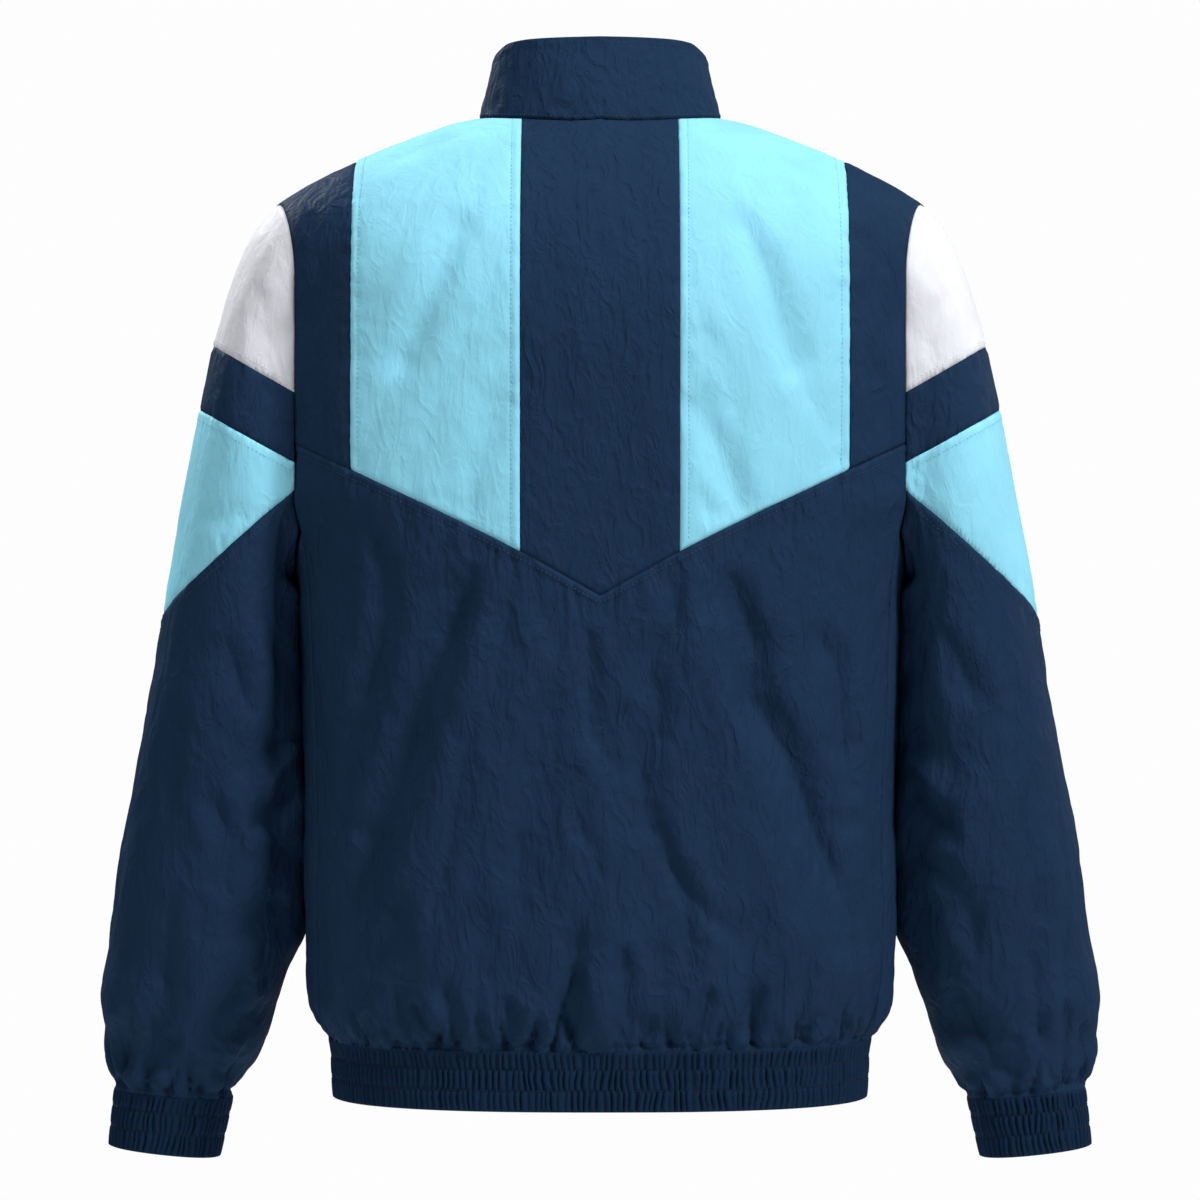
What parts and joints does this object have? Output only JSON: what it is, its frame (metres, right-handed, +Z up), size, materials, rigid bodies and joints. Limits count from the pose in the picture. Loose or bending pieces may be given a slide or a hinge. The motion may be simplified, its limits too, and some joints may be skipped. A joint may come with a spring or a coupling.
{
  "type": "windbreaker jacket",
  "caption": "Hollow windbreaker jacket with a stand collar, front zip, light blue back stripes over a V seam, white sleeve heads and shirred hem and cuffs.",
  "frame": {"origin": "the middle of the neck opening, level with the sides of the neck, where the wearer holds the jacket up", "axes": "+Z up, the front faces -Y, +X is the wearer's left"},
  "size_m": [0.7282, 0.2656, 0.808],
  "materials": {
    "shell_navy": "matt crinkled nylon, navy",
    "shell_light_blue": "matt crinkled nylon, light blue",
    "shell_white": "matt crinkled nylon, white",
    "shirred_band": "navy nylon gathered over elastic in three stitched channels",
    "zip_tape": "woven polyester tape",
    "zip_teeth": "moulded navy teeth",
    "zip_metal": "dark painted die casting, satin"
  },
  "bodies": {
    "jacket": {"back_centre": "shell_navy", "back_side_left": "shell_navy", "back_side_right": "shell_navy", "back_lower": "shell_navy", "front_left": "shell_navy", "front_right": "shell_navy", "collar": "shell_navy", "sleeve_band_left": "shell_navy", "sleeve_band_right": "shell_navy", "sleeve_lower_left": "shell_navy", "sleeve_lower_right": "shell_navy", "back_stripe_left": "shell_light_blue", "back_stripe_right": "shell_light_blue", "sleeve_wedge_left": "shell_light_blue", "sleeve_wedge_right": "shell_light_blue", "sleeve_cap_left": "shell_white", "sleeve_cap_right": "shell_white", "hem_band": "shirred_band", "cuff_left": "shirred_band", "cuff_right": "shirred_band", "zip_tape_left": "zip_tape", "zip_tape_right": "zip_tape", "zip_chain": "zip_teeth", "zip_box": "zip_teeth", "zip_slider": "zip_metal"},
    "pull_tab": {"zip_pull": "zip_metal"}
  },
  "joints": [
    {"name": "pull_swing", "type": "hinge", "parent": "jacket", "child": "pull_tab", "pos_m": [0, -0.06621, -0.00163], "axis": [-1, 0, 0], "range_deg": [0, 170]}
  ]
}
